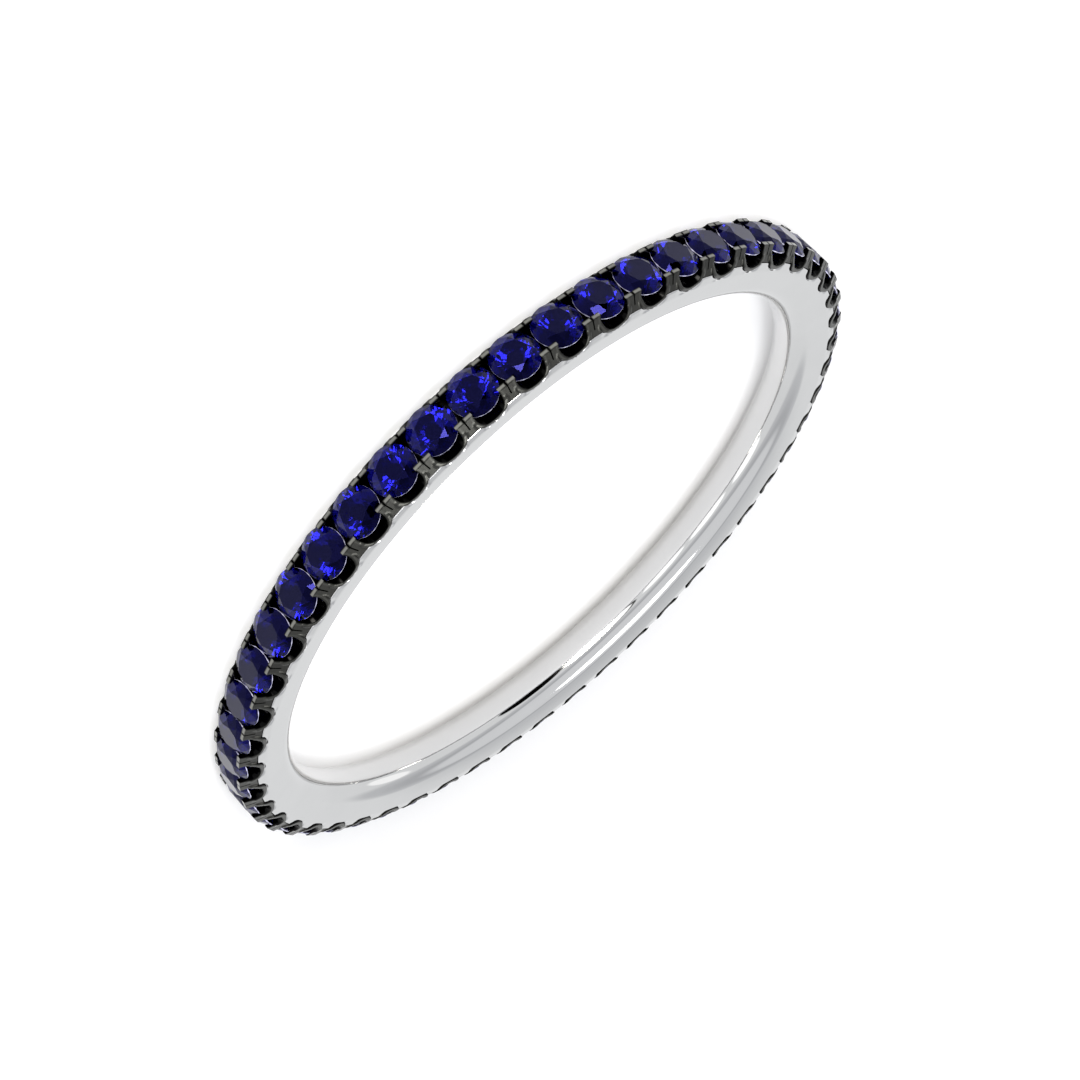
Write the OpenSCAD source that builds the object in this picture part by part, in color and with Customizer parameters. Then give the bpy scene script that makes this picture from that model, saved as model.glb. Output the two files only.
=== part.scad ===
// Full eternity ring lying on its side: a rounded white band with a comfort-fit bore,
// a black scalloped setting seated in it, and a full circle of round brilliants.
// The ring's axis is +Z and the origin is on the surface it lies on.

/* [Finger hole] */
// Inner diameter, a US size 6 1/4
bore_d = 16.7; // [15:0.1:21]
// Width of the straight stretch along the middle of the bore
bore_flat_w = 0.2; // [0.16:0.02:0.24]
// Radius of the comfort fit, which rounds the bore into the sides
comfort_r = 0.52; // [0.48:0.01:0.54]

/* [Band] */
// Width of the band at its widest
band_w = 1.39; // [1.38:0.01:1.5]
// Height above the bore at which each side is widest
side_h = 1.04; // [1:0.02:1.06]
// Height above the bore of the shoulder, the edge where the setting starts
shoulder_h = 1.27; // [1.24:0.01:1.3]
// Width of the band across its shoulders
shoulder_w = 1.35; // [1.34:0.01:1.37]

/* [Setting] */
// Height above the bore of the groove floor that the setting stands on
floor_h = 0.72; // [0.66:0.02:0.78]
// Width of the setting's root in the groove
root_w = 0.9; // [0.84:0.02:0.96]
// Height above the bore of the prong tops
prong_h = 1.7; // [1.66:0.01:1.76]
// Width of the setting where its walls leave the band
wall_w = 1.33; // [1.3:0.01:1.34]
// Width across the two rows of prongs at their tops
prong_row_w = 0.98; // [0.94:0.01:1.04]
// Width of the flat top of each row
prong_top_w = 0.11; // [0.1:0.01:0.14]
// Depth of the channel between the two rows
channel_depth = 0.55; // [0.53:0.01:0.6]
// Width of the saw cut that splits each prong block into two heads
slit_w = 0.05; // [0.04:0.01:0.08]
// Depth of that saw cut
slit_depth = 0.25; // [0.2:0.01:0.3]

/* [Arches] */
// Width of the arch cut through the side walls under each stone
arch_w = 0.8; // [0.76:0.01:0.82]
// Height above the bore of the lowest point of the arch
arch_h = 1.2; // [1.18:0.01:1.23]
// Width of the raised lip round each arch
lip_w = 0.11; // [0.08:0.01:0.14]
// How far the lip stands out from the side walls
lip_out = 0.03; // [0.02:0.01:0.05]
// How far below the prong tops the lips end
lip_end = 0.2; // [0.16:0.02:0.24]

/* [Stones] */
// Diameter of each stone across its girdle
stone_d = 1.12; // [1.08:0.01:1.2]
// Least space between neighbouring stones
stone_gap = 0.1; // [0.1:0.01:0.14]
// Height above the bore of the girdles
girdle_h = 1.52; // [1.5:0.01:1.55]
// Width of the table as a share of the stone's diameter
table_share = 0.57; // [0.5:0.01:0.64]
// Angle of the crown facets from the girdle plane
crown_angle = 34.5; // [30:0.5:38]
// Angle of the pavilion facets from the girdle plane
pavilion_angle = 40.8; // [38:0.2:43]
// Thickness of the girdle
girdle_t = 0.03; // [0.02:0.005:0.05]

/* [Fits] */
// Space between the setting and the band
setting_gap = 0.02; // [0.01:0.005:0.04]
// Space between each stone and its seat
seat_gap = 0.02; // [0.02:0.005:0.05]

/* [Hidden] */

// Radii measured from the ring's axis
bore_r = bore_d / 2;
side_at = bore_r + side_h;
shoulder_at = bore_r + shoulder_h;
floor_at = bore_r + floor_h;
prong_at = bore_r + prong_h;
channel_at = prong_at - channel_depth;
arch_at = bore_r + arch_h;
girdle_at = bore_r + girdle_h;
slit_at = prong_at - slit_depth;
lip_top_at = prong_at - lip_end;
lip_foot_at = arch_at - lip_w;

// Slope of the setting's side walls, as width lost for each unit of height
wall_lean = (wall_w - prong_row_w) / 2 / (prong_h - shoulder_h);
function wall_z(at) = wall_w / 2 - wall_lean * (at - shoulder_at);
lip_z = shoulder_w / 2 + lip_out;

// The ring rests on whichever of the lips and the band is wider
half_w = max(lip_z, band_w / 2);

// As many stones as fit round the girdle circle
stone_count = floor(2 * PI * girdle_at / (stone_d + stone_gap));
step = 360 / stone_count;

stone_r = stone_d / 2;
table_r = stone_r * table_share;
crown_h = (stone_r - table_r) * tan(crown_angle);
pavilion_h = stone_r * tan(pavilion_angle);
over = 0.5;

// Where the lower facets' tips lie on the pavilion, as a share of the stone's radius
lower_share = 0.24;

// Segments that curves are drawn with
hoop_fn = 360;
round_fn = 48;

// Stones whose lips or cuts are worked on together
at_a_time = 10;

// Points of a half section followed by the same points mirrored in the middle plane
function both_halves(points) =
    concat(points, [for (i = [len(points) - 1 : -1 : 0]) [points[i][0], -points[i][1]]]);

// Where the straight line from point p touches circle c, given as [x, y, radius]
function touch(c, p) =
    let (angle = atan2(p[1] - c[1], p[0] - c[0]) + acos(c[2] / norm([p[0] - c[0], p[1] - c[1]])))
    [c[0] + c[2] * cos(angle), c[1] + c[2] * sin(angle)];

// The band's section before the groove is cut. X is the radius from the axis.
module band_section() {
    side = [side_at, band_w / 2];
    comfort = [bore_r + comfort_r, bore_flat_w / 2, comfort_r];
    polygon(both_halves([
        [shoulder_at, shoulder_w / 2],
        side,
        touch(comfort, side),
        [bore_r, comfort[1]]
    ]));
    for (way = [-1, 1])
        translate([comfort[0], way * comfort[1]]) circle(r = comfort_r, $fn = round_fn);
}

// The groove that the setting's root stands in
module groove_section() {
    translate([floor_at - setting_gap, -root_w / 2 - setting_gap])
        square([prong_at, root_w + 2 * setting_gap]);
}

// The setting's section: root, leaning side walls, flat prong tops and the channel between them
module setting_section() {
    polygon(both_halves([
        [channel_at, prong_row_w / 2 - prong_top_w],
        [prong_at, prong_row_w / 2 - prong_top_w],
        [prong_at, prong_row_w / 2],
        [shoulder_at + setting_gap, wall_z(shoulder_at + setting_gap)],
        [shoulder_at + setting_gap, root_w / 2],
        [floor_at, root_w / 2]
    ]));
}

// The room that the arch lips take up, inside the side walls and a little proud of them
module lip_section(way) {
    inner = root_w / 2 - prong_top_w / 2;
    points = [
        [lip_top_at, inner],
        [lip_top_at, wall_z(lip_top_at) + lip_out],
        [shoulder_at, lip_z],
        [lip_foot_at - over, lip_z],
        [lip_foot_at - over, inner]
    ];
    polygon(way > 0 ? points : [for (i = [len(points) - 1 : -1 : 0]) [points[i][0], -points[i][1]]]);
}

module hoop() {
    translate([0, 0, half_w]) rotate_extrude($fn = hoop_fn) children();
}

// One arch, open at the top, run across the whole width at the stone on +X
module arch(grow) {
    r = arch_w / 2 + grow;
    centre = arch_at + arch_w / 2;
    translate([0, 0, -over]) linear_extrude(2 * half_w + 2 * over) {
        translate([centre, 0]) circle(r = r, $fn = round_fn);
        translate([centre, -r]) square([prong_at + over - centre, 2 * r]);
    }
}

module around() {
    for (i = [0 : stone_count - 1]) rotate([0, 0, i * step]) children();
}

// A brilliant with its table up, its girdle's middle at the origin
module brilliant() {
    half_t = girdle_t / 2;
    star_r = (table_r + stone_r) / 2;
    star_z = half_t + crown_h * (stone_r - star_r * cos(22.5)) / (stone_r - table_r);
    lower_r = stone_r * lower_share;
    lower_z = -half_t - pavilion_h * (1 - lower_share * cos(22.5));
    function ring(r, z, count, turn) =
        [for (i = [0 : count - 1]) [r * cos(turn + i * 360 / count), r * sin(turn + i * 360 / count), z]];
    // Table corners 0 to 7, star tips 8 to 15, upper girdle 16 to 31, lower girdle 32 to 47,
    // pavilion tips 48 to 55, culet 56
    corners = concat(
        ring(table_r, half_t + crown_h, 8, 0),
        ring(star_r, star_z, 8, 22.5),
        ring(stone_r, half_t, 16, 0),
        ring(stone_r, -half_t, 16, 0),
        ring(lower_r, lower_z, 8, 22.5),
        [[0, 0, -half_t - pavilion_h]]
    );
    table = [[for (i = [7 : -1 : 0]) i]];
    facets = [for (i = [0 : 7]) let (
        next = (i + 1) % 8,
        last = (i + 7) % 8,
        main = 16 + 2 * i,
        between = main + 1,
        next_main = 16 + 2 * next
    ) each [
        [i, next, 8 + i],
        [i, 8 + i, main, 8 + last],
        [8 + i, between, main],
        [8 + i, next_main, between],
        [main, between, between + 16, main + 16],
        [between, next_main, next_main + 16, between + 16],
        [main + 16, between + 16, 48 + i],
        [between + 16, next_main + 16, 48 + i],
        [56, 48 + last, main + 16, 48 + i]
    ]];
    polyhedron(corners, concat(table, facets));
}

// The space cut for one stone: its shape grown by the seat gap
module seat() {
    r = stone_r + seat_gap;
    half_t = girdle_t / 2 + seat_gap;
    down = r * tan(pavilion_angle);
    up = (r - table_r) * tan(crown_angle);
    rotate_extrude($fn = round_fn) polygon([
        [0, -half_t - down],
        [r, -half_t],
        [r, half_t],
        [table_r, half_t + up],
        [table_r, half_t + up + over],
        [0, half_t + up + over]
    ]);
}

// Turns a thing that stands on Z so that it stands outwards at the girdle on +X
module at_girdle() {
    translate([girdle_at, 0, half_w]) rotate([0, 90, 0]) children();
}

module band() {
    color("gainsboro") difference() {
        hoop() difference() {
            band_section();
            groove_section();
        }
        around() arch(lip_w + setting_gap);
    }
}

module slit() {
    translate([slit_at, -slit_w / 2, -over])
        cube([slit_depth + over, slit_w, 2 * half_w + 2 * over]);
}

// The lips round a few arches in both walls
module lips(first, last) {
    for (way = [-1, 1]) intersection() {
        hoop() lip_section(way);
        for (i = [first : last]) rotate([0, 0, i * step]) arch(lip_w);
    }
}

// What is cut away for a few stones: an arch, a seat and the saw cut before each stone
module cuts(first, last) {
    for (i = [first : last]) rotate([0, 0, i * step]) {
        arch(0);
        at_girdle() seat();
        rotate([0, 0, -step / 2]) slit();
    }
}

// The hoop gets its lips, and then its cuts, a few stones at a time all the way round
module with_lips(first = 0) {
    last = min(first + at_a_time, stone_count) - 1;
    if (first >= stone_count) children();
    else with_lips(last + 1) {
        children();
        lips(first, last);
    }
}

module with_cuts(first = 0) {
    last = min(first + at_a_time, stone_count) - 1;
    if (first >= stone_count) children();
    else with_cuts(last + 1) difference() {
        children();
        cuts(first, last);
    }
}

module setting() {
    color("dimgray") with_cuts() with_lips() hoop() setting_section();
}

module stones() {
    color("navy") around() at_girdle() brilliant();
}

band();
setting();
stones();
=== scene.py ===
import math

import bmesh
import bpy
from mathutils import Matrix, Vector


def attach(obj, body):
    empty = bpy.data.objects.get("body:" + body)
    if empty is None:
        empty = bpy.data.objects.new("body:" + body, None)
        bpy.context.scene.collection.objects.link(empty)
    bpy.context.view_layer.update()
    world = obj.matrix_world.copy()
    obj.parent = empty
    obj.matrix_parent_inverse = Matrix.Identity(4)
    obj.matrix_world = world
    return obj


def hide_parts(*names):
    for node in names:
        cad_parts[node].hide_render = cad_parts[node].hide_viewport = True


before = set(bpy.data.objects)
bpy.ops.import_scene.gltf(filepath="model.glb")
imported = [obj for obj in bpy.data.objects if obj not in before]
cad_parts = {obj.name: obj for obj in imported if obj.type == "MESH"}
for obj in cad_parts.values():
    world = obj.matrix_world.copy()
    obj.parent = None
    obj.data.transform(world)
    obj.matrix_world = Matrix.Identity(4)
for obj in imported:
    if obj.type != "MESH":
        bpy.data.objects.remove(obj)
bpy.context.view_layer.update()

# The band is one hoop of white gold, turned to a comfort fit and polished bright. Its flanks open
# out to a crisp shoulder, and an arch is filed through the shoulder under every stone. Sizes are
# in millimetres, measured from the ring's axis and its middle plane.
stone_count = 50
step = 2 * math.pi / stone_count
mid_height = 0.705
bore_r = 8.35
bore_flat = 0.1
comfort_r = 0.52
side = Vector((9.39, 0.695))
shoulder = Vector((9.62, 0.675))
shoulder_round = 0.02
past_side = 0.04
groove = Vector((9.05, 0.47))
arch_at = 9.95
arch_r = 0.4
lip_w = 0.11
joint_gap = 0.02
weld = 1e-4


def to_frame(bm, name):
    """Puts a mesh drawn in millimetres about the middle plane into the frame as a new object."""
    bmesh.ops.translate(bm, vec=(0, 0, mid_height), verts=bm.verts)
    bmesh.ops.scale(bm, vec=(0.001, 0.001, 0.001), verts=bm.verts)
    mesh = bpy.data.meshes.new(name)
    bm.to_mesh(mesh)
    bm.free()
    piece = bpy.data.objects.new(name, mesh)
    bpy.context.scene.collection.objects.link(piece)
    return piece


def shade(bm, sharp_angle):
    """Smooth faces, with an edge kept sharp where its faces turn by more than the angle."""
    for face in bm.faces:
        face.smooth = True
    for edge in bm.edges:
        if len(edge.link_faces) == 2:
            edge.smooth = edge.calc_face_angle(0) < math.radians(sharp_angle)


def arc(centre, radius, start, end, pieces):
    return [centre + radius * Vector((math.cos(a), math.sin(a)))
            for a in (math.radians(start + (end - start) * i / pieces) for i in range(pieces + 1))]


# Upper half of the section, from the middle of the bore out to the middle of the groove. Each
# point's pull says how far it follows the arches that are filed through the shoulder.
comfort = Vector((bore_r + comfort_r, bore_flat))
flank = side - comfort
touch = math.degrees(math.atan2(flank.y, flank.x) + math.acos(comfort_r / flank.length))
slope = math.degrees(math.atan2(shoulder.y - side.y, shoulder.x - side.x))
round_centre = Vector((shoulder.x - shoulder_round, 0))
round_centre.y = (side.y + (round_centre.x - side.x) * math.tan(math.radians(slope))
                  - shoulder_round / math.cos(math.radians(slope)))
half_section = [(Vector((bore_r, 0.0)), 0.0)]
half_section += [(p, 0.0) for p in arc(comfort, comfort_r, 180, touch, 16)]
half_section += [(side - (side - half_section[-1][0]) * t, 0.0) for t in (0.5, 0.1)]
edge_round = arc(round_centre, shoulder_round, 90 + slope, 0, 5)
for t in (0.0, 0.2, 0.45, 0.75):
    half_section.append((side.lerp(edge_round[0], t + past_side), t))
half_section += [(p, 1.0) for p in edge_round]
half_section += [(Vector((shoulder.x, groove.y)), 1.0), (groove, 0.0),
                 (Vector((groove.x, 0.0)), 0.0)]

# Columns round one half pitch, in degrees from the stone. They are closer where the arch is steep.
notch_r = arch_r + lip_w + joint_gap
notch_end = math.degrees(math.acos((shoulder.x ** 2 + arch_at ** 2 - notch_r ** 2)
                                   / (2 * shoulder.x * arch_at)))
columns = [notch_end * t for t in (0, 0.2, 0.4, 0.58, 0.73, 0.85, 0.94, 1)]
columns += [notch_end + (math.degrees(step) / 2 - notch_end) * t for t in (0.4, 1)]
columns += [math.degrees(step) - c for c in columns[-2:0:-1]]

bm = bmesh.new()
pull = bm.verts.layers.float.new("pull")
loop = half_section + [(Vector((p.x, -p.y)), k) for p, k in half_section[-2:0:-1]]
ring = []
for point, follows in loop:
    vert = bm.verts.new((point.x, 0, point.y))
    vert[pull] = follows
    ring.append(vert)
edges = [bm.edges.new((ring[i - 1], ring[i])) for i in range(len(ring))]
bmesh.ops.spin(bm, geom=ring + edges, cent=(0, 0, 0), axis=(0, 0, 1), dvec=(0, 0, 0),
               angle=2 * math.pi, steps=stone_count * len(columns), use_merge=True)
bmesh.ops.remove_doubles(bm, verts=bm.verts, dist=weld)
for vert in bm.verts:
    radius = math.hypot(vert.co.x, vert.co.y)
    count = round(math.atan2(vert.co.y, vert.co.x) / step * len(columns))
    stone, column = divmod(count % (stone_count * len(columns)), len(columns))
    turn = math.radians(columns[column])
    off = min(turn, step - turn)
    if off < math.radians(notch_end):
        cut = arch_at * math.cos(off) - math.sqrt(notch_r ** 2 - (arch_at * math.sin(off)) ** 2)
        drop = vert[pull] * (shoulder.x - cut)
        radius -= drop
        vert.co.z -= math.copysign(drop * math.tan(math.radians(slope)), vert.co.z)
    vert.co.xy = (radius * math.cos(stone * step + turn), radius * math.sin(stone * step + turn))
bmesh.ops.recalc_face_normals(bm, faces=bm.faces)
shade(bm, 35)
band = to_frame(bm, "polished_band")
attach(band, "root")
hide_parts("band")


class Socket:
    """One output of a shader node. Sums and products of it add the Math nodes they need."""

    def __init__(self, tree, socket):
        self.tree, self.socket = tree, socket

    def maths(self, operation, *values):
        return self.tree.add("ShaderNodeMath", {"operation": operation}, values)

    def __add__(self, other):
        return self.maths("ADD", self, other)

    def __sub__(self, other):
        return self.maths("SUBTRACT", self, other)

    def __rsub__(self, other):
        return self.maths("SUBTRACT", other, self)

    def __mul__(self, other):
        return self.maths("MULTIPLY", self, other)

    __radd__, __rmul__ = __add__, __mul__


class Finish:
    """A material or world being built: its node tree, and one method that adds any node."""

    def __init__(self, owner):
        owner.use_nodes = True
        self.owner, self.tree = owner, owner.node_tree
        self.tree.nodes.clear()

    def add(self, kind, settings=None, inputs=(), output=0):
        node = self.tree.nodes.new(kind)
        for name, value in (settings or {}).items():
            if name == "stops":
                ramp = node.color_ramp
                ramp.interpolation = "EASE"
                while len(ramp.elements) < len(value):
                    ramp.elements.new(1)
                for element, (place, colour) in zip(ramp.elements, value):
                    element.position, element.color = place, (*colour, 1)
            else:
                setattr(node, name, value)
        for name, value in inputs.items() if isinstance(inputs, dict) else enumerate(inputs):
            if isinstance(value, Socket):
                self.tree.links.new(value.socket, node.inputs[name])
            else:
                node.inputs[name].default_value = value
        return Socket(self, node.outputs[output]) if node.outputs else None


white_gold = Finish(bpy.data.materials.new("polished white gold"))
place = white_gold.add("ShaderNodeTexCoord", output="Object")
smears = white_gold.add("ShaderNodeTexNoise", {}, {
    "Vector": place, "Scale": 900, "Detail": 4, "Roughness": 0.6})
turning = white_gold.add("ShaderNodeTexNoise", {}, {
    "Vector": white_gold.add("ShaderNodeMapping", {}, {"Vector": place, "Scale": (1, 1, 9)}),
    "Scale": 5000, "Detail": 2, "Roughness": 0.5})
tone = white_gold.add("ShaderNodeMix", {"data_type": "RGBA"},
                      {0: smears, 6: (0.60, 0.60, 0.60, 1), 7: (0.64, 0.64, 0.64, 1)}, output=2)
surface = white_gold.add("ShaderNodeBsdfPrincipled", {}, {
    "Base Color": tone,
    "Metallic": 1,
    "Roughness": 0.03 + 0.04 * smears,
    "Normal": white_gold.add("ShaderNodeBump", {}, {
        "Strength": 0.02, "Distance": 0.00001, "Height": turning})})
white_gold.add("ShaderNodeOutputMaterial", {}, {"Surface": surface})
band.data.materials.append(white_gold.owner)

# The setting is a black-plated gallery soldered into the band's groove. Its two walls lean in, each
# arch has a raised lip, and a saw cut splits each prong block into two heads that hold the stones.
# A quarter of one block is drawn and mirrored, and the block is repeated round the ring.
prong_at = 10.05
prong_row = 0.49
prong_top_w = 0.11
wall_foot = Vector((shoulder.x, 0.665))
lean = (wall_foot.y - prong_row) / (prong_at - wall_foot.x)
foot_at = shoulder.x + joint_gap
lip_z = 0.705
lip_out = 0.03
lip_top_at = 9.85
lip_fade_before, lip_fade = 0.05, 0.06
# The painted shade line outside the lip grows paler between these radii
shade_line_pales_from, shade_line_pales_to = 9.65, 9.85
channel_at = 9.5
slit_half = 0.018
slit_at = 9.8
slit_sag = 0.015
root = Vector((9.07, 0.45))
crisp = 0.016
# Width of the painted shade line outside the lip
painted_shade_line_w = 0.03
# Width of the painted dark edge round the painted highlight on the heads' tops
highlight_strip_border = 0.032
girdle_at = 9.87
seat_r = 0.617
girdle_half = 0.02
crown_slope, pavilion_slope = math.tan(math.radians(34.5)), math.tan(math.radians(40.8))

half_pitch = step / 2
hinge = arch_at * Vector((math.cos(half_pitch), math.sin(half_pitch)))
down = -hinge.normalized()
across = Vector((-down.y, down.x))


def ray(psi):
    return down * math.cos(math.radians(psi)) + across * math.sin(math.radians(psi))


def psi_of(point):
    way = point - hinge
    return math.degrees(math.atan2(way.dot(across), way.dot(down)))


def to_radius(psi, radius, outwards):
    """Where the ray from the arch's centre crosses a circle about the ring's axis."""
    along = hinge.dot(ray(psi))
    half_chord = math.sqrt(along * along - hinge.length_squared + radius * radius)
    return hinge + ray(psi) * (-along + (half_chord if outwards else -half_chord))


def to_line(psi, y):
    """Where the ray crosses a line that runs alongside the block's middle."""
    way = ray(psi)
    return hinge + way * ((y - hinge.y) / way.y)


lip_r = arch_r + lip_w
foot_corner = math.degrees(math.acos((arch_at ** 2 + lip_r ** 2 - foot_at ** 2)
                                     / (2 * arch_at * lip_r)))
floor_corner = Vector((channel_at, 0))
foot_middle = psi_of(Vector((foot_at, 0)))
slit_foot = psi_of(Vector((slit_at - slit_sag, 0)))
slit_corner = psi_of(Vector((slit_at, slit_half)))
head_corner = psi_of(Vector((math.sqrt(prong_at ** 2 - slit_half ** 2), slit_half)))
head_end = math.degrees(math.acos((arch_at ** 2 + arch_r ** 2 - prong_at ** 2)
                                  / (2 * arch_at * arch_r)))
rays = [foot_corner * t for t in (0, 0.17, 0.34, 0.5, 0.66, 0.83, 1)]
rays += [(foot_corner + foot_middle) / 2, foot_middle]
rays += [foot_middle + (slit_foot - foot_middle) * t for t in (0.35, 0.7, 1)]
rays += [slit_corner + (head_corner - slit_corner) * t for t in (0, 0.2, 0.4, 0.6, 0.8, 1)]
rays += [head_corner + (head_end - head_corner) * t for t in (0.3, 0.55, 0.78, 1)]
same_ray = 1e-6


def outer_end(i):
    psi = rays[i]
    if psi <= foot_corner + same_ray:
        return hinge + ray(psi) * lip_r
    if psi <= foot_middle + same_ray:
        return to_radius(psi, foot_at, False)
    if psi <= slit_foot + same_ray:
        return to_line(psi, 0)
    if psi <= head_corner + same_ray:
        return to_line(psi, slit_half)
    return to_radius(psi, prong_at, True)


def inner_end(i):
    psi = rays[i]
    if psi < foot_corner - same_ray:
        return to_radius(psi, channel_at, False)
    if psi <= foot_corner + same_ray:
        return floor_corner
    return outer_end(i) if psi > foot_middle + same_ray else to_line(psi, 0)


def wall_z(radius):
    return wall_foot.y - lean * (radius - wall_foot.x)


def lip_face(radius):
    """Height of the lip's face over the middle plane; it runs out into the wall below the heads."""
    above = wall_z(lip_top_at) + lip_out
    t = (radius - wall_foot.x) / (lip_top_at - wall_foot.x)
    face = lip_z if t <= 0 else lip_z + (above - lip_z) * t
    fade = min(max((radius - lip_top_at + lip_fade_before) / lip_fade, 0), 1)
    return face + (wall_z(radius) - face) * fade * fade * (3 - 2 * fade)


def inside_z(point):
    """The channel's wall, cut back where the stone's seat reaches into it."""
    up = -point.dot(down)
    sideways = abs((point - hinge).dot(across))
    if up > girdle_at + girdle_half:
        reach = seat_r - (up - girdle_at - girdle_half) / crown_slope
    elif up < girdle_at - girdle_half:
        reach = seat_r - (girdle_at - girdle_half - up) / pavilion_slope
    else:
        reach = seat_r
    seat = math.sqrt(reach ** 2 - sideways ** 2) if reach > sideways else 0
    return max(prong_row - prong_top_w, seat)


def station(i, k):
    """Point k of ray i: up the inside of the wall, through the arch and down the outside."""
    psi = rays[i]
    far, near = outer_end(i), hinge + ray(psi) * arch_r
    reach = (far - hinge).length
    if k <= 3:
        point = inner_end(i).lerp(near, (0, 0.4, 0.75, 1)[k])
        return point, inside_z(point)
    if k >= 9:
        start = hinge + ray(psi) * min(lip_r + painted_shade_line_w, reach)
        point = start.lerp(far, (0, 0.5, 1)[k - 9])
        return point, wall_z(max(point.length, foot_at))
    distance, sunk = ((arch_r, crisp), (arch_r + crisp, 0), (arch_r + 0.5 * lip_w, 0),
                      (lip_r - crisp, 0), (lip_r, crisp))[k - 4]
    point = hinge + ray(psi) * min(distance, reach)
    face = lip_face(point.length)
    if k == 8:
        return point, max(face - sunk, wall_z(max(point.length, foot_at)))
    return point, face - sunk


# Painted light and shade on the plating at each station: painted shade near black inside the
# arch, a painted sheen on the lip, and a painted dark line outside the lip, station 8, which gets
# paler up towards the heads
painted_light_tones = (0, 0, 0, 0, 0, 0.4, 0.65, 0.5, 0, 0.48, 0.5, 0.5)

bm = bmesh.new()
# The tone layer holds each point's painted light and shade
tone = bm.verts.layers.float.new("tone")
which = bm.verts.layers.int.new("station")
chain = []
for k in range(len(painted_light_tones)):
    vert = bm.verts.new((hinge.x + down.x * (1 + k), hinge.y + down.y * (1 + k), 0))
    vert[which] = k
    chain.append(vert)
links = [bm.edges.new(pair) for pair in zip(chain, chain[1:])]
bmesh.ops.spin(bm, geom=chain + links, cent=(*hinge, 0), axis=(0, 0, 1), dvec=(0, 0, 0),
               angle=math.pi / 2, steps=len(rays) - 1, use_merge=False)
spot = {}
for vert in bm.verts:
    i = round(psi_of(vert.co.xy) / 90 * (len(rays) - 1))
    spot[i, vert[which]] = vert
for (i, k), vert in spot.items():
    point, height = station(i, k)
    vert.co = (point.x, point.y, height)
    vert[tone] = painted_light_tones[k]
    # Station 8's painted shade line is painted paler towards the heads
    if k == 8:
        pale = (point.length - shade_line_pales_from) / (shade_line_pales_to - shade_line_pales_from)
        vert[tone] = 0.1 + 0.35 * min(max(pale, 0), 1)


def seam(k, first, last):
    """The edges along station k from one ray to another."""
    return [bm.edges.get((spot[i, k], spot[i + 1, k])) for i in range(first, last)]


floor_ray, foot_ray, slit_ray = (rays.index(psi) for psi in (foot_corner, foot_middle, slit_foot))


def carry(edges, move):
    """Extrudes a run of edges and moves the new points."""
    new = bmesh.ops.extrude_edge_only(bm, edges=edges)["geom"]
    for vert in (g for g in new if isinstance(g, bmesh.types.BMVert)):
        vert.co = move(vert.co)
    return [g for g in new if isinstance(g, bmesh.types.BMEdge) and len(g.link_faces) == 1
            and all(v in new for v in g.verts)]


def at_radius(co, radius, z):
    flat = co.xy.normalized() * radius
    return Vector((flat.x, flat.y, z))


# The heads' tops have a painted dark edge round a painted highlight strip
last = len(rays) - 1
bridge = bmesh.ops.bridge_loops(bm, edges=seam(0, slit_ray, last) + seam(11, slit_ray, last))
tops = [f for f in bridge["faces"] if all(v.co.xy.length > prong_at - weld for v in f.verts)]
for vert in {v for f in tops for v in f.verts}:
    vert[tone] = 0.1
bmesh.ops.inset_region(bm, faces=tops, thickness=highlight_strip_border, depth=0, use_even_offset=True)
# The inset strip gets the painted highlight
for vert in {v for f in tops for v in f.verts}:
    vert[tone] = 1

# The root that stands in the band's groove, and the channel's floor
foot = carry(seam(11, 0, foot_ray), lambda co: Vector((co.x, co.y, root.y)))
foot = carry(foot, lambda co: at_radius(co, root.x, root.y))
carry(foot, lambda co: Vector((co.x, co.y, 0)))
carry(seam(0, 0, floor_ray), lambda co: Vector((co.x, co.y, 0)))
bmesh.ops.remove_doubles(bm, verts=bm.verts, dist=weld)
bmesh.ops.dissolve_degenerate(bm, edges=bm.edges, dist=weld)
for axis in "YZ":
    bmesh.ops.mirror(bm, geom=bm.verts[:] + bm.edges[:] + bm.faces[:], axis=axis, merge_dist=weld)
bmesh.ops.remove_doubles(bm, verts=bm.verts, dist=weld)
bmesh.ops.rotate(bm, cent=(0, 0, 0), matrix=Matrix.Rotation(half_pitch, 3, "Z"), verts=bm.verts)
bmesh.ops.spin(bm, geom=bm.verts[:] + bm.edges[:] + bm.faces[:], cent=(0, 0, 0), axis=(0, 0, 1),
               dvec=(0, 0, 0), angle=step * (stone_count - 1), steps=stone_count - 1,
               use_duplicate=True)
bmesh.ops.remove_doubles(bm, verts=bm.verts, dist=weld)
bmesh.ops.holes_fill(bm, edges=[e for e in bm.edges if len(e.link_faces) == 1], sides=3)
bmesh.ops.recalc_face_normals(bm, faces=bm.faces)
shade(bm, 40)
setting = to_frame(bm, "black_gallery")
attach(setting, "root")
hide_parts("setting")

black = Finish(bpy.data.materials.new("black rhodium plating"))
place = black.add("ShaderNodeTexCoord", output="Object")
wear = black.add("ShaderNodeTexNoise", {}, {
    "Vector": place, "Scale": 1500, "Detail": 4, "Roughness": 0.6})
grain = black.add("ShaderNodeTexNoise", {}, {
    "Vector": place, "Scale": 12000, "Detail": 3, "Roughness": 0.6})
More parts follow.
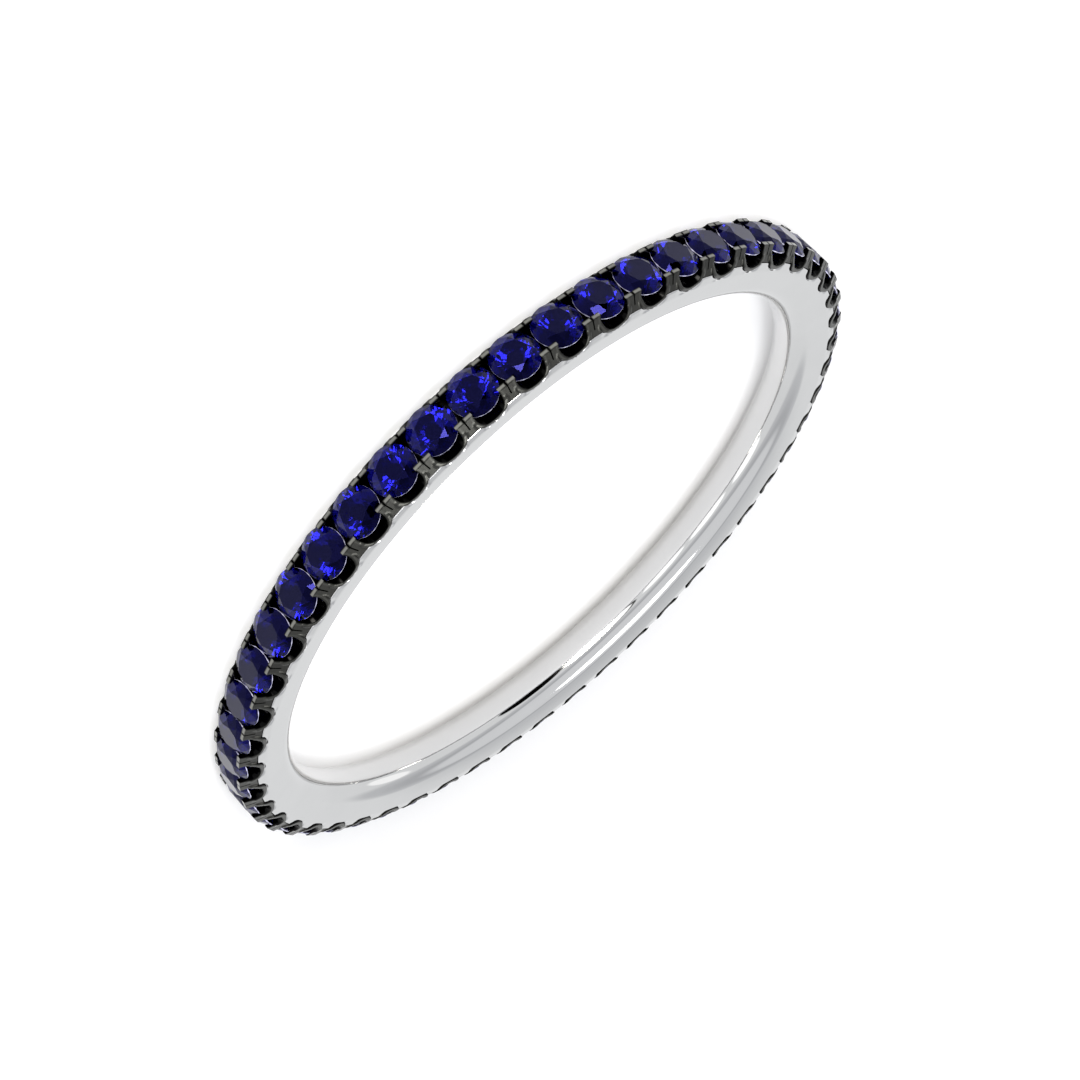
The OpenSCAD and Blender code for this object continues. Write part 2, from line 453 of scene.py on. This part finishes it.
# The tone attribute is painted light and shade: painted shade in the arches, painted highlights on
# the heads; the wear noise adds real unevenness
painted_light_share = black.add("ShaderNodeAttribute", {"attribute_name": "tone"}, output="Fac")
tone = black.add("ShaderNodeValToRGB", {"stops": (
    (0, (0.004, 0.004, 0.004)), (0.25, (0.02, 0.02, 0.018)), (0.5, (0.052, 0.052, 0.047)),
    (0.65, (0.075, 0.075, 0.068)), (1, (0.17, 0.17, 0.155)))}, (painted_light_share + 0.08 * (wear - 0.5),))
surface = black.add("ShaderNodeBsdfPrincipled", {}, {
    "Base Color": tone,
    "Metallic": 1,
    "Roughness": 0.16 + 0.1 * wear,
    "Normal": black.add("ShaderNodeBump", {}, {
        "Strength": 0.05, "Distance": 0.00001, "Height": grain})})
black.add("ShaderNodeOutputMaterial", {}, {"Surface": surface})
setting.data.materials.append(black.owner)

# The stones are round brilliants of dark blue sapphire, cut with a table, a crown and a pavilion of
# flat polished facets, and held by the girdle in the seats of the setting.
stone_r = 0.605
table_r = stone_r * 0.57
girdle_t = 0.03
crown_h = (stone_r - table_r) * crown_slope
pavilion_h = stone_r * pavilion_slope
star_r = (table_r + stone_r) / 2
eighth = math.cos(math.pi / 8)
star_z = girdle_t / 2 + crown_h * (stone_r - star_r * eighth) / (stone_r - table_r)
tip_share = 0.24
rim = girdle_t / 2
top = rim + crown_h
tip_z = -rim - pavilion_h * (1 - tip_share * eighth)


def polar(radius, eighths, height):
    turn = eighths * math.pi / 4
    return Vector((radius * math.cos(turn), radius * math.sin(turn), height))


# Three points on each facet: stars, main crown and pavilion facets, then the halves by the girdle
cuts = []
for i in range(8):
    star = polar(star_r, i + 0.5, star_z)
    tip = polar(stone_r * tip_share, i + 0.5, tip_z)
    cuts.append((polar(table_r, i, top), polar(table_r, i + 1, top), star))
    cuts.append((polar(table_r, i, top), star, polar(star_r, i - 0.5, star_z)))
    cuts.append((polar(0, 0, -rim - pavilion_h), tip, polar(stone_r * tip_share, i - 0.5, tip_z)))
    for way in (0, 1):
        cuts.append((star, polar(stone_r, i + way, rim), polar(stone_r, i + 0.5, rim)))
        cuts.append((tip, polar(stone_r, i + way, -rim), polar(stone_r, i + 0.5, -rim)))

bm = bmesh.new()
bmesh.ops.create_cone(bm, cap_ends=True, segments=48, radius1=stone_r, radius2=stone_r,
                      depth=top + rim + pavilion_h)
bmesh.ops.translate(bm, vec=(0, 0, (top - rim - pavilion_h) / 2), verts=bm.verts)
for a, b, c in cuts:
    out = (b - a).cross(c - a).normalized()
    if out.dot(a) < 0:
        out = -out
    done = bmesh.ops.bisect_plane(bm, geom=bm.verts[:] + bm.edges[:] + bm.faces[:], dist=1e-6,
                                  plane_co=a, plane_no=out, clear_outer=True)
    edges = [g for g in done["geom_cut"] if isinstance(g, bmesh.types.BMEdge)]
    bmesh.ops.contextual_create(bm, geom=[e for e in edges if len(e.link_faces) == 1])
bmesh.ops.remove_doubles(bm, verts=bm.verts, dist=weld)
bmesh.ops.dissolve_limit(bm, angle_limit=math.radians(0.5), verts=bm.verts, edges=bm.edges)
girdle = bm.faces.layers.float.new("girdle")
for face in bm.faces:
    face.normal_update()
    face[girdle] = abs(face.normal.z) < 0.05
bmesh.ops.rotate(bm, cent=(0, 0, 0), matrix=Matrix.Rotation(math.pi / 2, 3, "Y"), verts=bm.verts)
bmesh.ops.translate(bm, vec=(girdle_at, 0, 0), verts=bm.verts)
bmesh.ops.spin(bm, geom=bm.verts[:] + bm.edges[:] + bm.faces[:], cent=(0, 0, 0), axis=(0, 0, 1),
               dvec=(0, 0, 0), angle=step * (stone_count - 1), steps=stone_count - 1,
               use_duplicate=True)
bmesh.ops.recalc_face_normals(bm, faces=bm.faces)
stones = to_frame(bm, "blue_brilliants")
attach(stones, "root")
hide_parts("stones")

sapphire = Finish(bpy.data.materials.new("dark blue sapphire"))
place = sapphire.add("ShaderNodeTexCoord", output="Object")
zones = sapphire.add("ShaderNodeTexNoise", {}, {
    "Vector": place, "Scale": 1200, "Detail": 2, "Roughness": 0.5})
tone = sapphire.add("ShaderNodeMix", {"data_type": "RGBA"},
                    {0: zones, 6: (0.001, 0.001, 0.02, 1), 7: (0.002, 0.002, 0.12, 1)}, output=2)
gem = sapphire.add("ShaderNodeBsdfPrincipled", {}, {
    "Base Color": tone,
    "Roughness": 0.01 * zones,
    "IOR": 1.77,
    "Specular Tint": (0.05, 0.05, 0.32, 1),
    "Transmission Weight": 1})
# The girdle is frosted, and its pale lavender colour is also a painted reflection of the pale room at
# grazing angles
frosted_with_painted_reflection = sapphire.add("ShaderNodeBsdfPrincipled", {}, {
    "Base Color": sapphire.add("ShaderNodeMix", {"data_type": "RGBA"}, {
        0: zones, 6: (0.55, 0.55, 0.85, 1), 7: (0.8, 0.8, 0.95, 1)}, output=2),
    "Roughness": 0.4})
rim_share = sapphire.add("ShaderNodeAttribute", {"attribute_name": "girdle"}, output="Fac")
surface = sapphire.add("ShaderNodeMixShader", {}, (0.8 * rim_share, gem, frosted_with_painted_reflection))
sapphire.add("ShaderNodeOutputMaterial", {}, {"Surface": surface})
stones.data.materials.append(sapphire.owner)

# The stage: a plain white acrylic sheet, lit a little from below on the near side, a pale room with
# a few white and black panels for the metal to mirror, a soft overhead light, and a soft low one
# from the camera's side, which drops a faint shadow beyond the ring.
sheet_half = 1500
bm = bmesh.new()
bmesh.ops.create_grid(bm, x_segments=1, y_segments=1, size=sheet_half)
bmesh.ops.translate(bm, vec=(0, 0, -mid_height), verts=bm.verts)
floor = to_frame(bm, "white_sweep")
acrylic = Finish(bpy.data.materials.new("white acrylic"))
place = acrylic.add("ShaderNodeTexCoord", output="Object")
mottle = acrylic.add("ShaderNodeTexNoise", {}, {
    "Vector": place, "Scale": 400, "Detail": 3, "Roughness": 0.6})
# The glow fades with the distance from the camera, over 18 mm
away = acrylic.add("ShaderNodeSeparateXYZ", {}, (place,), output="Y")
glow = acrylic.add("ShaderNodeValToRGB", {"stops": (
    (0, (1, 1, 1)), (0.5, (0.5, 0.5, 0.5)), (0.8, (0.2, 0.2, 0.2)),
    (1, (0.14, 0.14, 0.14)))}, (0.35 + 55 * away,))
surface = acrylic.add("ShaderNodeBsdfPrincipled", {}, {
    "Base Color": acrylic.add("ShaderNodeMix", {"data_type": "RGBA"}, {
        0: mottle, 6: (0.74, 0.74, 0.75, 1), 7: (0.76, 0.76, 0.77, 1)}, output=2),
    "Roughness": 0.9,
    "Specular IOR Level": 0.1,
    "Emission Color": glow,
    "Emission Strength": 0.5})
acrylic.add("ShaderNodeOutputMaterial", {}, {"Surface": surface})
floor.data.materials.append(acrylic.owner)

room = bpy.data.worlds.new("pale studio")
bpy.context.scene.world = room
studio = Finish(room)
way = studio.add("ShaderNodeTexCoord", output="Generated")
height = studio.add("ShaderNodeSeparateXYZ", {}, (way,), output="Z")
walls = studio.add("ShaderNodeValToRGB", {"stops": (
    (0, (0.98, 0.99, 1.0)), (0.45, (0.98, 0.99, 1.0)), (0.57, (0.72, 0.73, 0.75)),
    (0.70, (0.60, 0.61, 0.63)), (0.78, (0.92, 0.93, 0.95)), (1, (0.95, 0.96, 0.98)))}, (height,))


def towards(azimuth, elevation):
    az, el = math.radians(azimuth), math.radians(elevation)
    return Vector((math.cos(el) * math.cos(az), math.cos(el) * math.sin(az), math.sin(el)))


# Round panels on the room's wall, each soft between its inner and outer angles
for azimuth, elevation, inner, outer, grey in (
        (-128, 8, 14, 16, 0), (-95, 12, 17, 18.5, 0.05), (-95, 12, 15, 16, 1.7),
        (-62, 12, 10, 12, 1.7), (-36, 12, 10, 12, 1.7), (-8, 12, 10, 12, 1.7), (157, 18, 9, 12, 1.4)):
    near = studio.add("ShaderNodeVectorMath", {"operation": "DOT_PRODUCT"},
                      (way, towards(azimuth, elevation)), output="Value")
    share = studio.add("ShaderNodeMapRange", {"interpolation_type": "SMOOTHSTEP"}, {
        "Value": near, "From Min": math.cos(math.radians(outer)),
        "From Max": math.cos(math.radians(inner))})
    walls = studio.add("ShaderNodeMix", {"data_type": "RGBA"},
                       {0: share, 6: walls, 7: (grey, grey, grey, 1)}, output=2)
shell = studio.add("ShaderNodeBackground", {}, {"Color": walls, "Strength": 1.0})
studio.add("ShaderNodeOutputWorld", {}, {"Surface": shell})

lamp_at = 0.1
for name, colour, energy, spread, azimuth, elevation in (
        ("overhead", (1, 1, 1), 0.6, 25, 90, 80),
        ("low_key", (1, 0.96, 0.88), 3.6, 24, -100, 13)):
    sun = bpy.data.lights.new(name, "SUN")
    sun.color = colour
    sun.energy = energy
    sun.angle = math.radians(spread)
    lamp = bpy.data.objects.new(name, sun)
    lamp.location = lamp_at * towards(azimuth, elevation)
    lamp.rotation_euler = (-lamp.location).to_track_quat("-Z", "Y").to_euler()
    bpy.context.scene.collection.objects.link(lamp)

camera = bpy.data.cameras.new("camera")
camera.lens = 90.5217
camera.sensor_width = 36
camera.clip_start = 0.001
viewpoint = bpy.data.objects.new("camera", camera)
viewpoint.location = (0.0039166, -0.0647785, 0.0245596)
viewpoint.rotation_euler = [math.radians(a) for a in (-62.77967, -41.00376, 164.80756)]
bpy.context.scene.collection.objects.link(viewpoint)
bpy.context.scene.camera = viewpoint
bpy.context.scene.view_settings.view_transform = "Standard"
